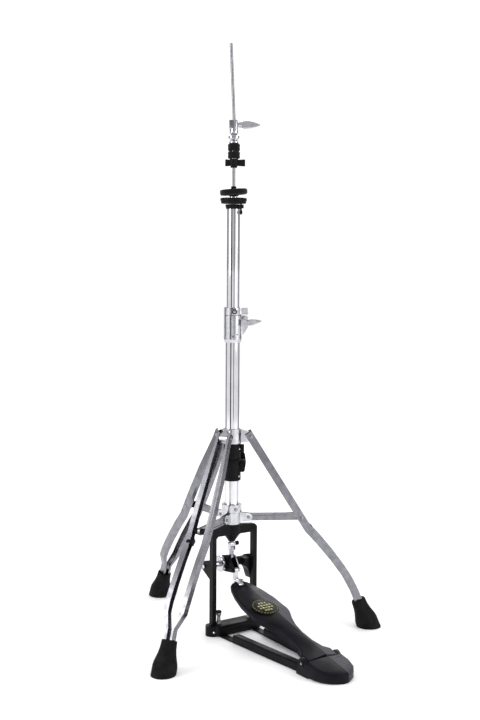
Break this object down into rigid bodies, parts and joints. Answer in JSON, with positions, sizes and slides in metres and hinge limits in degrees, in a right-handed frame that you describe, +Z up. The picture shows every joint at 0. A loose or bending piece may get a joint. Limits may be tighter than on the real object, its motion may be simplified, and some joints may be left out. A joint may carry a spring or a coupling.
{
  "type": "hi-hat stand",
  "caption": "Folding hi-hat cymbal stand: double-braced tripod, telescopic tube with clamp, pull rod with clutch and tilting seat, and a foot pedal driving the rod by a rocker and chain.",
  "frame": {"origin": "middle of the stand's footprint rectangle, on the floor", "axes": "+Z up along the tube, -Y towards the heel end of the pedal, +Y towards the rear leg, +X to the player's right seen from the heel"},
  "size_m": [0.525, 0.65, 1.1336],
  "materials": {
    "chrome": "mirror chrome plate",
    "steel": "bright drawn steel",
    "black_casting": "satin black powder coat on castings",
    "black_paint": "satin charcoal powder coat",
    "black_plastic": "moulded black nylon",
    "rubber": "moulded black rubber",
    "felt": "pressed black felt"
  },
  "bodies": {
    "base": {"yoke": "black_casting", "base_crossbar": "black_casting", "side_rail_left": "black_casting", "side_rail_right": "black_casting", "heel_plate": "black_paint", "heel_pin": "steel", "lower_tube": "chrome", "lower_hub": "chrome", "hub_screw": "steel", "height_clamp": "chrome", "clamp_bush": "black_plastic", "spring_seat": "steel", "return_spring": "steel"},
    "footboard": {"footboard": "black_paint", "toe_clip": "chrome"},
    "link": {"footboard_link": "chrome"},
    "rocker": {"rocker_cam": "black_casting", "rocker_cheek_left": "chrome", "rocker_cheek_right": "chrome", "rocker_axle": "chrome"},
    "pull_rod": {"lower_pull_rod": "steel", "upper_pull_rod": "steel", "rod_coupling": "steel", "spring_cap": "steel", "rod_clevis": "chrome", "clevis_screw": "black_casting"},
    "chain": {"drive_chain": "steel"},
    "upper_tube": {"upper_tube": "chrome", "seat_base": "black_casting"},
    "seat": {"seat_cup": "black_plastic", "seat_washer": "chrome", "seat_felt": "felt"},
    "tilt_screw": {"tilt_screw": "black_plastic"},
    "memory_lock": {"memory_lock": "chrome"},
    "clamp_wing": {"clamp_wing": "chrome"},
    "clutch": {"clutch_body": "chrome", "clutch_washer": "chrome", "clutch_felt_upper": "felt", "clutch_felt_lower": "felt"},
    "clutch_wing": {"clutch_wing": "chrome"},
    "clutch_nut": {"clutch_bottom_nut": "black_plastic"},
    "hub": {"upper_hub": "chrome", "leg_lock_collar": "black_plastic", "leg_lock_body": "black_plastic"},
    "leg_lock_wing": {"leg_lock_wing": "black_plastic"},
    "leg_left": {"leg_left_strap_a": "chrome", "leg_left_strap_b": "chrome", "rubber_foot_left": "rubber"},
    "leg_right": {"leg_right_strap_a": "chrome", "leg_right_strap_b": "chrome", "rubber_foot_right": "rubber"},
    "leg_rear": {"leg_rear_strap_a": "chrome", "leg_rear_strap_b": "chrome", "rubber_foot_rear": "rubber"},
    "brace_left": {"brace_left": "chrome"},
    "brace_right": {"brace_right": "chrome"},
    "brace_rear": {"brace_rear": "chrome"},
    "spur_left": {"spur_bolt_left": "chrome"},
    "spur_right": {"spur_bolt_right": "chrome"}
  },
  "joints": [
    {"name": "footboard_hinge", "type": "hinge", "parent": "base", "child": "footboard", "pos_m": [0, -0.25302, 0.022], "axis": [-1, 0, 0], "range_deg": [0, 3.87], "stiffness_Nm_per_rad": 10, "springref_deg": -17.19},
    {"name": "rocker_swing", "type": "hinge", "parent": "base", "child": "rocker", "pos_m": [0, 0.04298, 0.13], "axis": [1, 0, 0], "range_deg": [0, 40.01]},
    {"name": "pull_rod_slide", "type": "slide", "parent": "base", "child": "pull_rod", "axis": [0, 0, -1], "range_m": [0, 0.01585], "deforming": ["return_spring"]},
    {"name": "chain_swing", "type": "hinge", "parent": "pull_rod", "child": "chain", "pos_m": [0, 0.02498, 0.165], "axis": [-1, 0, 0], "range_deg": [0, 15.77]},
    {"name": "link_swing", "type": "hinge", "parent": "footboard", "child": "link", "pos_m": [0, 0.00948, 0.0945], "axis": [-1, 0, 0], "range_deg": [0, 12.13]},
    {"name": "height_slide", "type": "slide", "parent": "base", "child": "upper_tube", "axis": [0, 0, 1], "range_m": [-0.155, 0.03]},
    {"name": "memory_lock_slide", "type": "slide", "parent": "base", "child": "memory_lock", "axis": [0, 0, 1], "range_m": [0, 0.17]},
    {"name": "clamp_wing_turn", "type": "hinge", "parent": "base", "child": "clamp_wing", "pos_m": [0.01772, 0.01262, 0.606], "axis": [0.5721, 0.8202, 0], "range_deg": [-90, 90]},
    {"name": "tilt_screw_turn", "type": "hinge", "parent": "upper_tube", "child": "tilt_screw", "pos_m": [0.00482, 0.00712, 0.823], "axis": [0, 0, 1], "range_deg": [0, 360.5]},
    {"name": "seat_tilt", "type": "hinge", "parent": "upper_tube", "child": "seat", "pos_m": [0, 0.02498, 0.8375], "axis": [-0.9655, -0.2605, 0], "range_deg": [0, 2.5]},
    {"name": "clutch_slide", "type": "slide", "parent": "pull_rod", "child": "clutch", "axis": [0, 0, 1], "range_m": [-0.03, 0.03]},
    {"name": "clutch_wing_turn", "type": "hinge", "parent": "clutch", "child": "clutch_wing", "pos_m": [0.00648, 0.02046, 0.9815], "axis": [0.8202, -0.5721, 0], "range_deg": [-360, 360]},
    {"name": "clutch_nut_turn", "type": "hinge", "parent": "clutch", "child": "clutch_nut", "pos_m": [0, 0.02498, 0.911], "axis": [0, 0, 1], "range_deg": [-360, 360]},
    {"name": "hub_slide", "type": "slide", "parent": "base", "child": "hub", "axis": [0, 0, 1], "range_m": [0, 0.12609]},
    {"name": "leg_lock_wing_turn", "type": "hinge", "parent": "hub", "child": "leg_lock_wing", "pos_m": [0.01599, 0.01382, 0.3305], "axis": [0.5721, 0.8202, 0], "range_deg": [0, 360]},
    {"name": "leg_left_fold", "type": "hinge", "parent": "hub", "child": "leg_left", "pos_m": [-0.03031, 0.00748, 0.385], "axis": [0.5, -0.866, 0], "range_deg": [0, 24.74]},
    {"name": "brace_left_fold", "type": "hinge", "parent": "base", "child": "brace_left", "pos_m": [-0.02815, 0.00873, 0.2255], "axis": [-0.5, 0.866, 0], "range_deg": [0, 75.01]},
    {"name": "leg_right_fold", "type": "hinge", "parent": "hub", "child": "leg_right", "pos_m": [0.03031, 0.00748, 0.385], "axis": [0.5, 0.866, 0], "range_deg": [0, 24.74]},
    {"name": "brace_right_fold", "type": "hinge", "parent": "base", "child": "brace_right", "pos_m": [0.02815, 0.00873, 0.2255], "axis": [-0.5, -0.866, 0], "range_deg": [0, 75.01]},
    {"name": "leg_rear_fold", "type": "hinge", "parent": "hub", "child": "leg_rear", "pos_m": [0, 0.05998, 0.385], "axis": [-1, 0, 0], "range_deg": [0, 24.74]},
    {"name": "brace_rear_fold", "type": "hinge", "parent": "base", "child": "brace_rear", "pos_m": [0, 0.05748, 0.2255], "axis": [1, 0, 0], "range_deg": [0, 75.01]},
    {"name": "spur_left_turn", "type": "hinge", "parent": "base", "child": "spur_left", "pos_m": [-0.0365, 0.01448, 0.0205], "axis": [0, 0, 1], "range_deg": [0, 720]},
    {"name": "spur_right_turn", "type": "hinge", "parent": "base", "child": "spur_right", "pos_m": [0.0365, 0.01448, 0.0205], "axis": [0, 0, 1], "range_deg": [0, 720]}
  ],
  "couplings": [
    {"joint": "rocker_swing", "follows": "footboard_hinge", "ratio": 10.34},
    {"joint": "pull_rod_slide", "follows": "footboard_hinge", "m_per_rad": 0.23447},
    {"joint": "chain_swing", "follows": "footboard_hinge", "ratio": 4.0727},
    {"joint": "link_swing", "follows": "footboard_hinge", "ratio": 3.132},
    {"joint": "tilt_screw_turn", "follows": "seat_tilt", "ratio": 144},
    {"joint": "leg_left_fold", "follows": "hub_slide", "rad_per_m": 3.4237},
    {"joint": "brace_left_fold", "follows": "hub_slide", "rad_per_m": 10.381},
    {"joint": "leg_right_fold", "follows": "hub_slide", "rad_per_m": 3.4237},
    {"joint": "brace_right_fold", "follows": "hub_slide", "rad_per_m": 10.381},
    {"joint": "leg_rear_fold", "follows": "hub_slide", "rad_per_m": 3.4237},
    {"joint": "brace_rear_fold", "follows": "hub_slide", "rad_per_m": 10.381}
  ]
}
